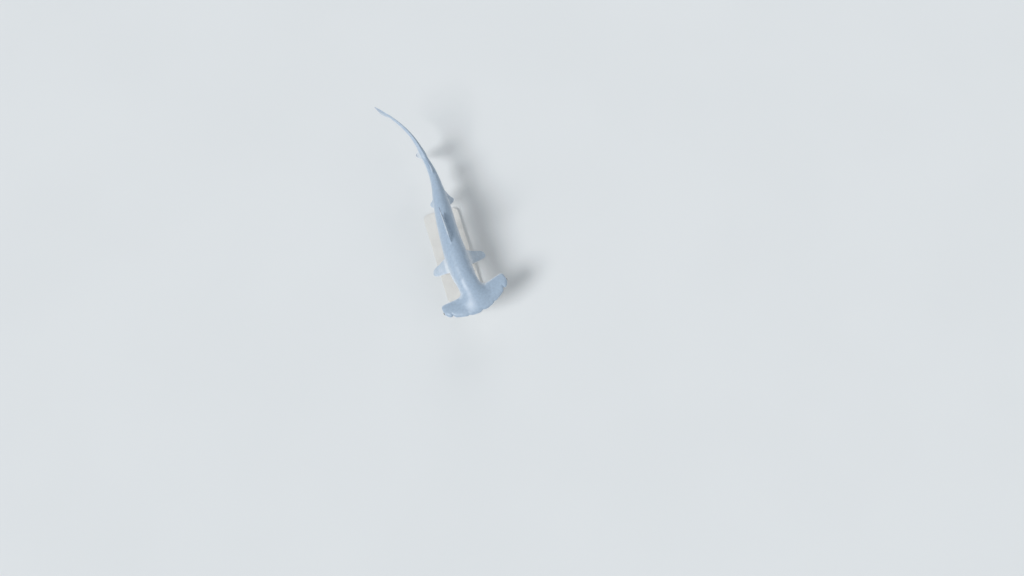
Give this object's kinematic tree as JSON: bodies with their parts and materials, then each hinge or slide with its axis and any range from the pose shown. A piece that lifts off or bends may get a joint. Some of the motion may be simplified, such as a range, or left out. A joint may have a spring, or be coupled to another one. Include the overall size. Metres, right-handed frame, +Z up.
{
  "type": "scalloped hammerhead shark, life-size museum model",
  "caption": "Still, life-size model of a swimming hammerhead shark with a gently curved body, held on rods over a flat display base.",
  "frame": {"origin": "middle of the underside of the display base", "axes": "+Z up, -Y the way the shark swims, +X its left side; +Y runs along its length towards the tail"},
  "size_m": [0.7554, 2.2258, 0.8337],
  "materials": {
    "skin": "satin, grey above and pale below",
    "fin_skin": "satin, grey above and pale below",
    "eye": "high gloss",
    "stand_paint": "satin white",
    "stand_steel": "brushed",
    "stand_rubber": "matte"
  },
  "bodies": {
    "root": {"head": "skin", "gill_region": "skin", "trunk": "skin", "tail_stalk": "skin", "caudal_fin_upper": "fin_skin", "caudal_fin_lower": "fin_skin", "first_dorsal_fin": "fin_skin", "second_dorsal_fin": "fin_skin", "anal_fin": "fin_skin", "pectoral_fin_left": "fin_skin", "pectoral_fin_right": "fin_skin", "pelvic_fin_left": "fin_skin", "pelvic_fin_right": "fin_skin", "eye_left": "eye", "eye_right": "eye", "stand_base": "stand_paint", "stand_rod_front": "stand_steel", "stand_rod_rear": "stand_steel", "stand_collar_front": "stand_steel", "stand_collar_rear": "stand_steel", "stand_saddle_front": "stand_rubber", "stand_saddle_rear": "stand_rubber"}
  },
  "joints": []
}
